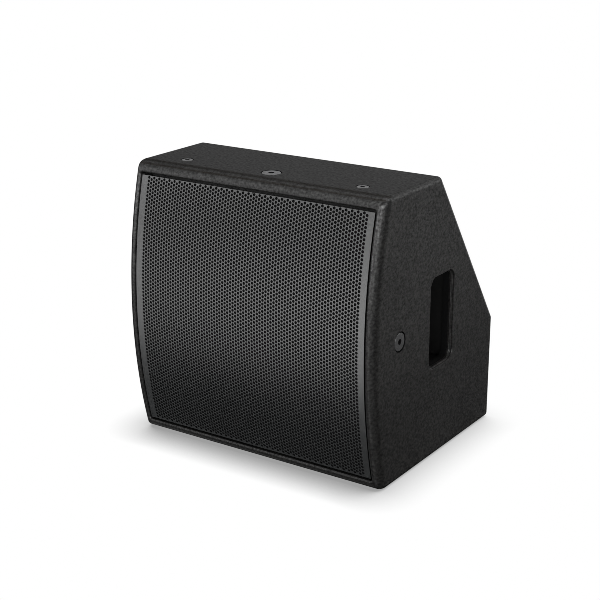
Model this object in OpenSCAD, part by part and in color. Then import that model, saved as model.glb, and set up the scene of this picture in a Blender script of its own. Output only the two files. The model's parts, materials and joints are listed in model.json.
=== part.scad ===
// Compact coaxial stage monitor wedge.
// Stands upright on its bottom or lies back on its sloped rear face.
// Origin: centre of the footprint, on the floor plane. X right, Y back, Z up.

/* [Cabinet] */
// overall width of the cabinet
cab_w = 390; // [384:1:400]
// overall height of the cabinet
cab_h = 388; // [384:1:396]
// how far the middle of the front stands proud of its top and bottom edges
bow = 26.8; // [24:0.2:29]
// depth of the top panel, from the front's top edge to the rear slope
top_d = 142; // [136:1:150]
// depth of the base, from the front's bottom edge to the rear panel
base_d = 306.5; // [302:0.5:316]
// height of the upright part of the rear
rear_h = 153.5; // [148:0.5:160]
// plywood thickness
ply = 15; // [15:0.5:16]
// radius on the front edges
front_r = 11.3; // [9:0.1:11.4]
// radius on all other edges
edge_r = 5.5; // [3:0.5:6]

/* [Grille] */
// visible thickness of the rim at the sides of the grille
rim = 11.5; // [11.5:0.1:12.5]
// how far the grille sits behind the rim
grille_set = 2.5; // [2:0.1:5.4]
// thickness of the grille sheet
grille_t = 1.5; // [1:0.1:1.6]
// width over the grille's side flanges
grille_w = 363.8; // [362:0.2:364.4]
// height of the grille
grille_h = 351.8; // [346:0.2:354]
// thickness of the foam behind the grille
foam_t = 6; // [4:0.5:6.5]

/* [Drive unit] */
// radius of the drive unit's mounting flange
unit_r = 158; // [156:0.5:160]
// radius of the circle its bolts stand on
bolt_circle = 151; // [150.5:0.25:151.5]
// number of bolts
bolt_n = 8; // [4:4:8]
// outer radius of the large voice coil
coil_r = 38.9; // [38.6:0.1:39.1]
// radius of the ferrite ring
magnet_r = 88; // [80:1:92]
// throat radius of the high-frequency horn
throat_r = 12.5; // [11.5:0.25:12.5]

/* [Handles] */
// width of the hand opening
grip_w = 59; // [55:1:62]
// height of the hand opening
grip_h = 126; // [120:1:130]
// how deep the hand pocket goes behind the panel
grip_depth = 52; // [42:1:60]

/* [Fixing points] */
// distance of the top points behind the front's top edge
top_pt_y = 39.5; // [39:0.5:42]
// distance of the side points behind the front's top edge
side_pt_y = 41.5; // [40:0.5:44]
// distance between the two outer top points
top_pt_span = 276; // [270:1:280]
// radius of the tapped hole in the large points
big_pt_r = 3.4; // [3.4:0.1:3.5]
// radius of the tapped hole in the small points
small_pt_r = 2.5; // [2.5:0.05:2.6]

/* [Ports] */
// distance of each port from the drive unit's axis, across and up
port_at = 136; // [135.5:0.5:138]
// inner radius of a port tube
port_r = 24; // [20:0.5:24]
// length of a port tube
port_l = 80; // [60:1:82]

/* [Hidden] */
$fn = 96;
front_y = -(base_d - bow) / 2; // the front's top edge
half_w = cab_w / 2;
mid_z = cab_h / 2;
inner_x = half_w - ply; // inner face of the right side panel
inner_w = 2 * inner_x;
baffle_y = 17;
baffle_back = baffle_y + ply;

paint = [0.15, 0.15, 0.155];
steel = [0.33, 0.34, 0.35];
copper = [0.7, 0.4, 0.2];
function grey(level) = [level, level, level];

// ---- frames and basic shapes ----
// everything below is drawn with y measured from the front's top edge
module from_front() translate([0, front_y, 0]) children();
// moves a part drawn about y = 0 up to the drive unit's axis
module on_axis() translate([0, 0, mid_z]) children();
// turns an (r, y) drawing about the drive unit's axis
module about_axis() on_axis() rotate([-90, 0, 0]) rotate_extrude($fn = 120) children();
// lays a (y, z) drawing upright and gives it a width from x1 to x2
module wide(x1, x2)
  translate([x1, 0, 0]) rotate([90, 0, 90]) linear_extrude(x2 - x1) children();
// repeats at -x and +x
module at_sides(x, z = 0) for (side = [-1, 1]) translate([side * x, 0, z]) children();
// repeats at the corners of a rectangle around height z
module at_corners(x, up, z = mid_z) for (i = [-1, 1], j = [-1, 1])
  translate([i * x, 0, z + j * up]) children();

// a round bar along y
module bar(y1, y2, r, fn = 32)
  translate([0, y1, 0]) rotate([-90, 0, 0]) cylinder(r = r, h = y2 - y1, $fn = fn);
// a block centred on x = 0 and on z, reaching back from y
module block(w, y, depth, h, z = 0) translate([-w / 2, y, z - h / 2]) cube([w, depth, h]);
// section of a square ring
module band(r1, r2, y1, y2) translate([r1, y1]) square([r2 - r1, y2 - y1]);
module rounded_rect(w, h, r) {
  square([w - 2 * r, h], center = true);
  square([w, h - 2 * r], center = true);
  for (i = [-1, 1], j = [-1, 1]) translate([i * (w / 2 - r), j * (h / 2 - r)]) circle(r);
}

function direction(v) = v / norm(v);
function arc(centre, r, a1, a2, steps) =
  [for (i = [0:steps]) let(a = a1 + (a2 - a1) * i / steps) centre + r * [cos(a), sin(a)]];
// closes a line of points into a sheet of the given thickness along y
function sheet(points, thick) =
  concat(points, [for (i = [len(points) - 1:-1:0]) points[i] + [0, thick]]);

// ---- side view of the cabinet ----
// the bowed front is an arc about (bow_y, mid_z)
bow_r = (mid_z * mid_z + bow * bow) / (2 * bow);
bow_y = bow_r - bow;
bow_centre = [bow_y, mid_z];

// sharp corners (y, z), from the front's top edge round the back to its bottom edge
corners = [[0, cab_h], [top_d, cab_h], [base_d, rear_h], [base_d, 0], [0, 0]];
slope_v = corners[2] - corners[1];
slope_len = norm(slope_v);
slope_n = [-slope_v[1], slope_v[0]] / slope_len; // outward
slope_a = atan2(slope_v[1], slope_v[0]);
slope_n_a = atan2(slope_n[1], slope_n[0]);

// centres of the front edge roundings, which touch the bow from inside
front_edge_reach = bow_r - front_r;
front_edge_up = mid_z - front_r;
front_edge_y = bow_y - sqrt(front_edge_reach * front_edge_reach - front_edge_up * front_edge_up);
bow_half_a = asin(front_edge_up / front_edge_reach);

function corner_centre(i) = let(
    to_last = direction(corners[i - 1] - corners[i]),
    to_next = direction(corners[i + 1] - corners[i]),
    half_a = acos(to_last * to_next) / 2)
  corners[i] + direction(to_last + to_next) * edge_r / sin(half_a);

// rounded outline without the bow; the front arcs run on past it by the angle extra
function back_pts(extra) = concat(
  arc([front_edge_y, cab_h - front_r], front_r, 180 - bow_half_a - extra, 90, 8),
  arc(corner_centre(1), edge_r, 90, slope_n_a, 4),
  arc(corner_centre(2), edge_r, slope_n_a, 0, 3),
  arc(corner_centre(3), edge_r, 0, -90, 6),
  arc([front_edge_y, front_r], front_r, -90, -180 + bow_half_a + extra, 8));
module outline() polygon(concat(back_pts(0),
  [for (i = [1:47]) let(a = 180 + bow_half_a - 2 * bow_half_a * i / 48)
    bow_centre + bow_r * [cos(a), sin(a)]]));
// the same, left open at the front for the bow to trim
module open_outline() {
  back = back_pts(1.2);
  reach = bow_r + 8;
  polygon(concat(back, [
    bow_centre + direction(back[len(back) - 1] - bow_centre) * reach,
    bow_centre - [bow_r + 40, 0],
    bow_centre + direction(back[0] - bow_centre) * reach]));
}
// turns an (r, x) drawing about the axis of the bowed front
module about_bow()
  translate([0, bow_y, mid_z]) rotate([0, 90, 0]) rotate_extrude($fn = 360) children();

// frame on the rear slope: x across, y down the slope, z out of it
module on_slope(x, along) {
  place = corners[1] + direction(slope_v) * along + slope_n * 0.01;
  translate([x, place[0], place[1]]) rotate([slope_a, 0, 0]) children();
}
foot_x = 150;
foot_inset = 32; // from the ends of the slope
module at_feet() for (side = [-1, 1], along = [foot_inset, slope_len - foot_inset])
  on_slope(side * foot_x, along) children();

// ---- fixing points ----
insert_sunk = 1; // insert flange below the panel's face
module at_side_point() translate([half_w, side_pt_y, mid_z]) rotate([0, 90, 0]) children();
module at_top_point() translate([0, top_pt_y, cab_h]) children();
module at_outer_top_points() at_sides(top_pt_span / 2) at_top_point() children();
// recess and bore for an insert, the panel's face at z = 0
module insert_seat(seat_r, seat_depth, bore_r) {
  translate([0, 0, -seat_depth]) cylinder(r = seat_r, h = 5);
  translate([0, 0, -ply - 1]) cylinder(r = bore_r, h = ply + 2);
}
module big_seat() insert_seat(seat_r = 14, seat_depth = 3, bore_r = 6.5);
// flanged threaded insert, the panel's face at z = 0
module insert(flange_r, flange_t, barrel_r, depth, hole_r)
  translate([0, 0, -insert_sunk]) rotate_extrude($fn = 64) {
    translate([hole_r, -flange_t]) square([flange_r - hole_r, flange_t]);
    translate([hole_r, -depth]) square([barrel_r - hole_r, depth]);
  }
module big_insert()
  insert(flange_r = 12.3, flange_t = 2, barrel_r = 6.4, depth = 16, hole_r = big_pt_r);

module side_inserts() color(grey(0.42)) from_front() for (flip = [0, 1])
  mirror([flip, 0, 0]) at_side_point() big_insert();
module top_insert() color(grey(0.42)) from_front() at_top_point() big_insert();
module top_small_inserts() color(grey(0.42)) from_front() at_outer_top_points()
  insert(flange_r = 7.2, flange_t = 1.5, barrel_r = 4.4, depth = 15, hole_r = small_pt_r);

// ---- handles ----
grip_y = 151;
grip_z = mid_z - 1;
grip_corner_r = 13;
// inside of the hand pocket, which reaches higher than the opening
cup_y1 = grip_y - grip_w / 2 - 1.5;
cup_y2 = grip_y + grip_w / 2 + 1.5;
cup_z1 = grip_z - grip_h / 2 - 1.5;
cup_z2 = grip_z + grip_h / 2 + 20;
cup_wall = 2.5;
cup_flange_t = 3;
cup_flange_w = 12;
cup_hole_r = 2.1;
module at_cup_screws(x)
  for (y = [cup_y1 - 6.6, cup_y2 + 6.6], z = [cup_z1 + 12, (cup_z1 + cup_z2) / 2, cup_z2 - 12])
    translate([x, y, z]) rotate([0, 90, 0]) children();

// hand pocket of the right side, closed at the back
module handle_cup() {
  floor_x = inner_x - grip_depth;
  cup_w = cup_y2 - cup_y1;
  cup_h = cup_z2 - cup_z1;
  difference() {
    union() {
      translate([floor_x - cup_wall, cup_y1 - cup_wall, cup_z1 - cup_wall])
        cube([grip_depth + cup_wall, cup_w + 2 * cup_wall, cup_h + 2 * cup_wall]);
      translate([inner_x - cup_flange_t, cup_y1 - cup_flange_w, cup_z1 - cup_flange_w])
        cube([cup_flange_t, cup_w + 2 * cup_flange_w, cup_h + 22]);
    }
    translate([floor_x, cup_y1, cup_z1]) cube([grip_depth + 2, cup_w, cup_h]);
    at_cup_screws(inner_x - 5) cylinder(r = cup_hole_r, h = 8, $fn = 32);
  }
}
module handle_cup_right() color(grey(0.03)) from_front() handle_cup();
module handle_cup_left() color(grey(0.03)) mirror([1, 0, 0]) from_front() handle_cup();
module handle_screws() color(grey(0.1)) from_front() for (flip = [0, 1])
  mirror([flip, 0, 0]) at_cup_screws(inner_x - cup_flange_t) {
    translate([0, 0, -2]) cylinder(r = 3.8, h = 2, $fn = 32);
    translate([0, 0, -0.5]) cylinder(r = 2, h = 12.5, $fn = 32);
  }

// ---- cabinet panels ----
// rounds the right side panel's outer edge from p to q
module edge_cut(p, q) {
  run = direction(q - p);
  over = 40; // past each end
  translate([0, p[0], p[1]]) rotate([atan2(run[1], run[0]), 0, 0])
    translate([half_w - edge_r, -over, -edge_r]) rotate([-90, 0, 0]) mirror([0, 1, 0])
      linear_extrude(norm(q - p) + 2 * over) polygon(concat(
        arc([0, 0], edge_r, 0, 90, 6),
        [[0, edge_r + 3], [edge_r + 3, edge_r + 3], [edge_r + 3, 0]]));
}
// hand opening with an eased outer edge
module grip_opening() {
  ease = 4.6;
  translate([inner_x - 1, grip_y, grip_z]) rotate([90, 0, 90])
    linear_extrude(ply + 2) rounded_rect(grip_w, grip_h, grip_corner_r, $fn = 48);
  hull() for (grow = [0, ease])
    translate([half_w - 4.5 + grow, grip_y, grip_z]) rotate([90, 0, 90]) linear_extrude(0.1)
      rounded_rect(grip_w + 2 * grow, grip_h + 2 * grow, grip_corner_r + grow, $fn = 32);
}
// drawn for the right side
module side_panel() difference() {
  intersection() {
    wide(inner_x, half_w) open_outline();
    about_bow() polygon(concat([[300, inner_x], [bow_r, inner_x]],
      arc([bow_r - front_r, half_w - front_r], front_r, 0, 90, 8), [[300, half_w]]));
  }
  // rebate that lets the grille in
  translate([inner_x - 1, -bow - 5, ply])
    cube([half_w - rim - inner_x + 1, baffle_y + bow + 5, cab_h - 2 * ply]);
  for (i = [0:3]) edge_cut(corners[i], corners[i + 1]);
  grip_opening();
  // pilot holes for the hand pocket's screws
  at_cup_screws(inner_x - 1) cylinder(r = cup_hole_r, h = 11, $fn = 32);
  at_side_point() big_seat();
}
module side_right() color(paint) from_front() side_panel();
module side_left() color(paint) mirror([1, 0, 0]) from_front() side_panel();

// the part of the outline from height z up to z + ply + 5
module level_panel(z) wide(-inner_x, inner_x) intersection() {
  outline();
  translate([-bow - 5, z]) square([base_d + 40, ply + 5]);
}
module top_panel() color(paint) from_front() difference() {
  level_panel(cab_h - ply);
  at_top_point() big_seat();
  at_outer_top_points() insert_seat(seat_r = 8.2, seat_depth = 2.5, bore_r = 4.5);
}
module bottom_panel() color(paint) from_front() level_panel(-5);

// everything outside the slope panel's inner face
module slope_strip() translate(corners[1]) rotate(slope_a)
  translate([-60, -ply]) square([slope_len + 120, ply + 20]);
module slope_panel() color(paint) from_front() difference() {
  wide(-inner_x, inner_x) intersection() {
    outline();
    slope_strip();
    translate([-5, 0]) square([base_d + 20, cab_h - ply]);
  }
  // pilot holes for the foot screws
  at_feet() translate([0, 0, -12]) cylinder(r = 2.1, h = 20, $fn = 32);
}
module rear_panel() color(paint) from_front() difference() {
  wide(-inner_x, inner_x) intersection() {
    outline();
    difference() {
      translate([base_d - ply, ply]) square([ply + 5, rear_h]);
      slope_strip();
    }
  }
  // recess, opening and pilot holes for the input plate
  block(plate_w + 1, base_d - plate_t, 5, plate_h + 1, plate_z);
  block(plate_w - 24, base_d - ply - 1, ply + 2, plate_h - 24, plate_z);
  at_plate_screws() bar(base_d - 14, base_d, 1.7);
}

module baffle() color(grey(0.07)) from_front() difference() {
  block(inner_w, baffle_y, ply, cab_h - 2 * ply, mid_z);
  on_axis() bar(baffle_y - 1, baffle_back + 1, 144.5, 120);
  at_ports() bar(baffle_y - 1, baffle_back + 1, port_r + port_wall + 0.2, 64);
  at_studs() bar(baffle_y - 1, baffle_back + 1, grommet_r);
  at_bolts() {
    bar(baffle_y - 1, baffle_back + 1, 2.7);
    bar(baffle_y + 6, baffle_back + 1, 3.4);
  }
}
// cross batten behind the drive unit, glued between the side panels
module brace() color([0.62, 0.5, 0.34]) from_front()
  translate([-inner_x, 195, 205]) cube([inner_w, 22, ply]);

// ---- grille ----
grille_r = bow_r - grille_set; // front face
grille_back_r = grille_r - grille_t;
flange_r = grille_r - 13; // back edge of the side flanges
grommet_r = 4.5;
module at_studs() at_corners(174.5, 158) children();

module grille() color(steel) from_front() intersection() {
  half = grille_w / 2;
  half_in = half - grille_t;
  about_bow() polygon([
    [flange_r, half], [grille_r, half], [grille_r, -half], [flange_r, -half],
    [flange_r, -half_in], [grille_back_r, -half_in], [grille_back_r, half_in],
    [flange_r, half_in]]);
  block(cab_w, -bow - 5, 80, grille_h, mid_z);
}
module grille_foam() color(grey(0.03)) from_front() difference() {
  foam_w = grille_w - 2 * grille_t - 0.4;
  intersection() {
    about_bow() translate([grille_back_r - foam_t, -foam_w / 2]) square([foam_t, foam_w]);
    block(cab_w, -bow - 5, 80, grille_h - 1.2, mid_z);
  }
  at_studs() bar(-30, 30, 3.2);
}
module grille_studs() color(steel) from_front() difference() {
  at_studs() bar(-12, baffle_y + 11, 2.5);
  about_bow() translate([grille_back_r, -half_w]) square([60, cab_w]);
}
module grille_grommets() color(grey(0.05)) from_front() at_studs() difference() {
  union() {
    bar(baffle_y, baffle_y + 13, grommet_r);
    bar(baffle_y - 1.5, baffle_y, 5.3);
  }
  bar(baffle_y - 3, baffle_y + 15, 2.55);
}

// ---- drive unit ----
// places along the axis, from the front
flange_y = 10; // front of the mounting flange
seat_y = 12; // where the surround is glued
flange_back = 15.5;
motor_y = 94; // front of the motor
plate_back = 102;
magnet_back = 122;
yoke_back = 132;
hf_yoke_back = 138;
hf_magnet_back = 152;
hf_plate_back = 158;

module at_bolts() for (k = [0:bolt_n - 1])
  on_axis() rotate([0, (k + 0.5) * 360 / bolt_n, 0]) translate([bolt_circle, 0, 0]) children();
module flange_holes() at_bolts() bar(5, 20, 2.75);

// one leg of the basket, (r, y)
leg_pts = [[143.5, 24], [140.2, 24], [84, 73.5], [84, 90], [89.5, 90], [89.5, 76], [143.5, 29.5]];
module basket() color([0.2, 0.2, 0.21]) from_front() difference() {
  union() {
    about_axis() {
      band(147, unit_r, flange_y, flange_back);
      band(140, 148, seat_y, flange_back);
      band(140, 144, 15, 30);
      band(76, 90, 73, 76);
      band(82, 90, 75, motor_y);
      band(50, 84, 90, motor_y);
    }
    for (k = [0:5]) on_axis() rotate([0, k * 60, 0])
      translate([0, 0, -8]) linear_extrude(16) polygon(leg_pts);
  }
  flange_holes();
}
module unit_gasket() color(grey(0.04)) from_front() difference() {
  about_axis() band(145, unit_r - 0.5, flange_back, baffle_y);
  flange_holes();
}
module unit_bolts() color(grey(0.12)) from_front() at_bolts() difference() {
  union() {
    bar(flange_y - 5, flange_y, 4.25);
    bar(flange_y - 1, 36, 2.45);
  }
  bar(4, 7.5, 2.3, 6); // hexagon socket
}
module t_nuts() color(grey(0.6)) from_front() at_bolts() difference() {
  union() {
    bar(baffle_back, baffle_back + 1.5, 6.3);
    bar(baffle_y + 7, baffle_back + 0.5, 3.3);
  }
  bar(baffle_y, baffle_back + 5, 2.5);
}

// half-roll edge of the cone, with a glued lip on each side
module surround() color(grey(0.03)) from_front() about_axis() {
  sheet_t = 0.8;
  roll_at = 133;
  roll_r = 7;
  band(120.5, 126.6, seat_y - sheet_t, seat_y);
  band(139.4, 146.8, seat_y - sheet_t, seat_y);
  intersection() {
    difference() {
      translate([roll_at, seat_y]) circle(roll_r);
      translate([roll_at, seat_y]) circle(roll_r - sheet_t);
    }
    translate([120, seat_y - 20]) square([30, 20]);
  }
}
cone_r = 124;
cone_neck_r = 37.9;
function cone_y(r) = seat_y + 0.1 + 50 * pow((cone_r - r) / 86, 0.86);
module cone() color([0.07, 0.07, 0.08]) from_front() about_axis() polygon(sheet(
  [for (i = [0:9]) let(r = cone_r - i * (cone_r - cone_neck_r) / 9) [r, cone_y(r)]], 1.1));
module coil_former() color([0.75, 0.7, 0.6]) from_front() about_axis() band(37.4, 37.8, 61.5, 107);
module coil_winding() color(copper) from_front() about_axis() band(37.85, coil_r, 90, 106);
// textile centring disc with five corrugations and a flat glued rim
module spider() color([0.75, 0.6, 0.3]) from_front() about_axis() {
  steps = 36;
  polygon(sheet([for (i = [0:steps])
    [38 + i * 38 / steps, 71.2 + 1.4 * sin(i * 360 * 5 / steps)]], 0.7));
  band(75.9, 84, 71.2, 72.95);
}

module top_plate() color(grey(0.5)) from_front() about_axis() band(39.7, 84, motor_y, plate_back);
module magnet() color(grey(0.12)) from_front()
  about_axis() band(48, magnet_r, plate_back, magnet_back);
module yoke() color(grey(0.5)) from_front() about_axis() {
  band(throat_r + 1.5, magnet_r - 2, magnet_back, yoke_back);
  band(throat_r + 1.5, 36.7, motor_y, magnet_back + 1);
}

// ---- high-frequency unit ----
// section of the horn (r, y): inner face from back to mouth, then the outer face
horn_pts = [
  [throat_r, yoke_back], [throat_r, motor_y],
  [15, 88], [20, 78], [27, 66], [36, 54], [45, 46],
  [47.5, 46], [47.5, 48.5],
  [41, 50.5], [35.5, 56.5], [29.5, 67], [23, 79], [17.5, 89],
  [throat_r + 1.4, motor_y], [throat_r + 1.4, yoke_back]];
module hf_horn() color(grey(0.05)) from_front() about_axis() polygon(horn_pts);
module hf_yoke() color(grey(0.5)) from_front() about_axis() {
  band(throat_r, 45, yoke_back, hf_yoke_back);
  band(throat_r, 21, hf_yoke_back - 1, hf_plate_back);
}
module hf_magnet() color(grey(0.12)) from_front()
  about_axis() band(27, 46, hf_yoke_back, hf_magnet_back);
module hf_top_plate() color(grey(0.5)) from_front()
  about_axis() band(23.2, 45, hf_magnet_back, hf_plate_back);

dome_centre_y = 139.2;
// domed head behind the throat, held by three webs
module phase_plug() color(grey(0.8)) from_front() {
  about_axis() intersection() {
    translate([0, dome_centre_y]) circle(28.4);
    union() {
      band(0, 9, 134, 170);
      band(0, 20.5, hf_plate_back, 170);
    }
  }
  on_axis() for (k = [0:2]) rotate([0, k * 120, 0])
    translate([0, 140, -1]) cube([throat_r - 0.05, 18.5, 2]);
}
module hf_dome() color([0.75, 0.75, 0.78]) from_front() about_axis() intersection() {
  difference() {
    translate([0, dome_centre_y]) circle(30.3);
    translate([0, dome_centre_y]) circle(30);
  }
  band(0, 22, 160.05, 172);
}
module hf_coil() color(copper) from_front() about_axis() band(21.7, 22.3, 152.5, 160);
module hf_suspension() color([0.8, 0.7, 0.5]) from_front()
  about_axis() band(22.35, 27, 159.7, 160);
module hf_clamp_ring() color(grey(0.3)) from_front()
  about_axis() band(27.05, 42, hf_plate_back, 161);
module hf_cover() color(grey(0.06)) from_front() about_axis() {
  band(43, 46, hf_plate_back, 180);
  band(0, 46, 178, 181);
}
terminal_x = 16;
module lf_terminals() color([0.5, 0.1, 0.1]) from_front() at_sides(terminal_x, mid_z) {
  translate([-6, 76, -106]) cube([12, 14, 15]);
  translate([0, 83, -110]) cylinder(r = 4, h = 4, $fn = 32);
}

// ---- ports ----
port_wall = 2.5;
module at_ports() at_corners(port_at, port_at) children();
module port_tubes() color(grey(0.04)) from_front() at_ports() difference() {
  union() {
    bar(baffle_y - 2.5, baffle_y, 30, 64);
    bar(baffle_y - 1, baffle_y + port_l, port_r + port_wall, 64);
  }
  bar(baffle_y - 5, baffle_y + port_l + 1, port_r, 64);
}

// ---- input plate with its dish ----
plate_z = 78;
plate_w = 150;
plate_h = 96;
plate_t = 2;
dish_w = plate_w - 26;
dish_h = plate_h - 26;
dish_d = 22;
dish_y = base_d - dish_d; // floor of the dish
socket_x = 27;
socket_back = dish_y - 20;
module at_plate_screws() at_corners(plate_w / 2 - 6, plate_h / 2 - 6, plate_z) children();

module input_plate() color(grey(0.08)) from_front() difference() {
  union() {
    block(plate_w, base_d - plate_t, plate_t, plate_h, plate_z);
    block(dish_w, dish_y - plate_t, dish_d, dish_h, plate_z);
  }
  block(dish_w - 2 * plate_t, dish_y, dish_d + 5, dish_h - 2 * plate_t, plate_z);
  at_sides(socket_x, plate_z) bar(dish_y - 5, dish_y + 3, 12.2, 64);
  at_plate_screws() bar(base_d - 5, base_d + 1, 1.9);
}
// twist-lock speaker sockets, each with a ring groove around a core
module input_sockets() color([0.1, 0.1, 0.14]) from_front()
  at_sides(socket_x, plate_z) difference() {
    union() {
      bar(socket_back, dish_y + 1, 12, 64);
      block(26, dish_y, 3, 31);
      bar(dish_y, dish_y + 10, 14, 64);
    }
    difference() {
      bar(dish_y - 14, dish_y + 12, 11, 64);
      bar(dish_y - 15, dish_y + 7, 6.5, 64);
    }
  }
module input_screws() color(grey(0.1)) from_front() at_plate_screws() {
  bar(base_d - 12, base_d - 1.5, 1.6);
  difference() {
    bar(base_d - 2, base_d, 1.6);
    block(1.2, base_d - 1, 2, 3);
  }
}

// ---- filter on the bottom panel ----
board_w = 160;
board_d = 100;
board_t = 1.6;
board_y = 190; // middle of the board
standoff_h = 8;
board_z = ply + standoff_h;
board_top = board_z + board_t;
module at_board_corners() for (i = [-1, 1], j = [-1, 1])
  translate([i * (board_w / 2 - 6), board_y + j * (board_d / 2 - 6), 0]) children();

module filter_board() color([0.1, 0.3, 0.15]) from_front() difference() {
  translate([-board_w / 2, board_y - board_d / 2, board_z]) cube([board_w, board_d, board_t]);
  at_board_corners() translate([0, 0, board_z - 1]) cylinder(r = 1.8, h = 4, $fn = 32);
}
module filter_standoffs() color([0.7, 0.6, 0.3]) from_front() at_board_corners() {
  translate([0, 0, ply]) cylinder(r = 3.5, h = standoff_h, $fn = 32);
  translate([0, 0, board_z - 1]) cylinder(r = 1.6, h = 3, $fn = 32);
  translate([0, 0, board_top]) cylinder(r = 3.2, h = 2, $fn = 32);
}
// x, y, radius, height
coils = [[-45, board_y + 10, 25, 24], [40, board_y + 22, 20, 20]];
module filter_coils() color([0.75, 0.4, 0.2]) from_front() for (coil = coils)
  translate([coil[0], coil[1], board_top]) difference() {
    cylinder(r = coil[2], h = coil[3], $fn = 64);
    translate([0, 0, -1]) cylinder(r = coil[2] * 0.45, h = coil[3] + 2, $fn = 64);
  }
module filter_caps() color([0.7, 0.65, 0.2]) from_front() for (k = [0:2])
  translate([-10 + 27 * k, board_y - 40, board_top + 9.5])
    rotate([-90, 0, 0]) cylinder(r = 9.4, h = 36, $fn = 48);
module filter_resistors() color([0.9, 0.9, 0.85]) from_front() for (k = [0, 1])
  translate([-70, board_y - 42 + k * 14, board_top]) cube([48, 9.5, 9]);

// ---- wiring and lining ----
// a cable through a list of points, round-jointed at every bend
module cable(points, r) for (i = [0:len(points) - 2]) {
  run = points[i + 1] - points[i];
  translate(points[i]) rotate([0, acos(run[2] / norm(run)), atan2(run[1], run[0])])
    cylinder(r = r, h = norm(run), $fn = 24);
  if (i > 0) translate(points[i]) sphere(r * 1.12, $fn = 24);
}
// two from the sockets, two from the cone's terminals, one from the rear cover
cable_z = mid_z - 100;
cable_paths = [
  [[-socket_x, socket_back - 0.2, plate_z], [-socket_x, 259, plate_z],
    [-27, 246, 60], [-20, 228, 30]],
  [[socket_x, socket_back - 0.2, plate_z], [socket_x, 260, plate_z],
    [12, 250, 60], [-8, 232, 30]],
  [[-terminal_x, 90.2, cable_z], [-terminal_x, 96, cable_z], [-28, 130, 60], [-30, 146, 40]],
  [[terminal_x, 90.2, cable_z], [terminal_x, 96, cable_z], [60, 132, 60], [66, 150, 30]],
  [[0, 181.2, mid_z], [0, 187, mid_z], [74, 196, 90], [70, 200, 30]]];
module wiring() color([0.5, 0.08, 0.06]) from_front()
  for (path = cable_paths) cable(path, r = 2);

// polyester lining on the slope and the rear
module wadding() color([0.85, 0.85, 0.83]) from_front() {
  thick = 12;
  gap = 0.2; // to the panel
  on_slope(0, slope_len / 2) translate([-120, -92, -ply - thick - gap]) cube([240, 150, thick]);
  at_sides(126) translate([-42, base_d - ply - thick - gap, 40]) cube([84, thick, 90]);
}

// ---- rubber feet for the lying position ----
screw_seat = 3; // height of the screw head's seat in the foot
module feet() color(grey(0.03)) from_front() at_feet() difference() {
  rotate_extrude($fn = 48) {
    square([14, 5]);
    square([12.5, 6.5]);
    translate([12.5, 5]) circle(1.5);
  }
  translate([0, 0, screw_seat]) cylinder(r = 6, h = 5, $fn = 48);
  translate([0, 0, -1]) cylinder(r = 2.2, h = 8, $fn = 32);
}
// cross-slotted screws
module foot_screws() color(grey(0.6)) from_front() at_feet() difference() {
  union() {
    translate([0, 0, screw_seat]) cylinder(r = 4.5, h = 2.4, $fn = 32);
    translate([0, 0, -10]) cylinder(r = 2, h = 13.5, $fn = 32);
  }
  translate([-3, -0.5, 4.6]) cube([6, 1, 2]);
  translate([-0.5, -3, 4.6]) cube([1, 6, 2]);
}

side_left();
side_right();
top_panel();
bottom_panel();
slope_panel();
rear_panel();
baffle();
brace();
grille();
grille_foam();
grille_studs();
grille_grommets();
side_inserts();
top_insert();
top_small_inserts();
handle_cup_left();
handle_cup_right();
handle_screws();
basket();
unit_gasket();
unit_bolts();
t_nuts();
surround();
cone();
coil_former();
coil_winding();
spider();
top_plate();
magnet();
yoke();
hf_horn();
hf_yoke();
hf_magnet();
hf_top_plate();
phase_plug();
hf_dome();
hf_coil();
hf_suspension();
hf_clamp_ring();
hf_cover();
lf_terminals();
port_tubes();
input_plate();
input_sockets();
input_screws();
filter_board();
filter_coils();
filter_caps();
filter_resistors();
filter_standoffs();
wiring();
wadding();
feet();
foot_screws();
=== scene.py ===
# Stage monitor wedge: wooden cabinet with a bowed front behind a perforated grille, a sloping
# upper rear, hand openings, fixing points and the flexing parts of its two drive units.
# x runs to the right, y from the front to the rear, z up from the floor, with x = 0 midway.
# Lengths are in millimetres, y counts from the chord of the bowed front, and make_mesh turns
# both into world metres. Shader coordinates are world metres.

import json
import math

import bmesh
import bpy
import numpy as np
from mathutils import Matrix, Vector


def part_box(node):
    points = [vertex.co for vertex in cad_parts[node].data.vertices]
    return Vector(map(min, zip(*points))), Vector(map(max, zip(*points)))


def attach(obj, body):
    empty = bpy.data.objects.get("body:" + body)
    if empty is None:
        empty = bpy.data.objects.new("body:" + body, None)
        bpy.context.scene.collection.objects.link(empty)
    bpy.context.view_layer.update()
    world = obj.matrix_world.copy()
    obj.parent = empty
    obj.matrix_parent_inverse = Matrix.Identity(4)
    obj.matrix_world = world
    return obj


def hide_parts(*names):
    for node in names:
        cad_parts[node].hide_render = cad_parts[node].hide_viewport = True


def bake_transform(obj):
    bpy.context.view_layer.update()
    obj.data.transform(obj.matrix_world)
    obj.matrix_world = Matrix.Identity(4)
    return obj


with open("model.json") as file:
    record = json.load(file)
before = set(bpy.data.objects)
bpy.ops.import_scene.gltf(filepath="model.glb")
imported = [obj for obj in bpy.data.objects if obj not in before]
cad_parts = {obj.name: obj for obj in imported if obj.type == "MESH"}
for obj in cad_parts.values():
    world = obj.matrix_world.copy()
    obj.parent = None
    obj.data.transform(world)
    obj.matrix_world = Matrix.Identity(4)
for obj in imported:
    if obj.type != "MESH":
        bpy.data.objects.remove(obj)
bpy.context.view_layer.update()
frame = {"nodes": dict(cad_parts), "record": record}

COLLECTION = bpy.context.scene.collection

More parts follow.
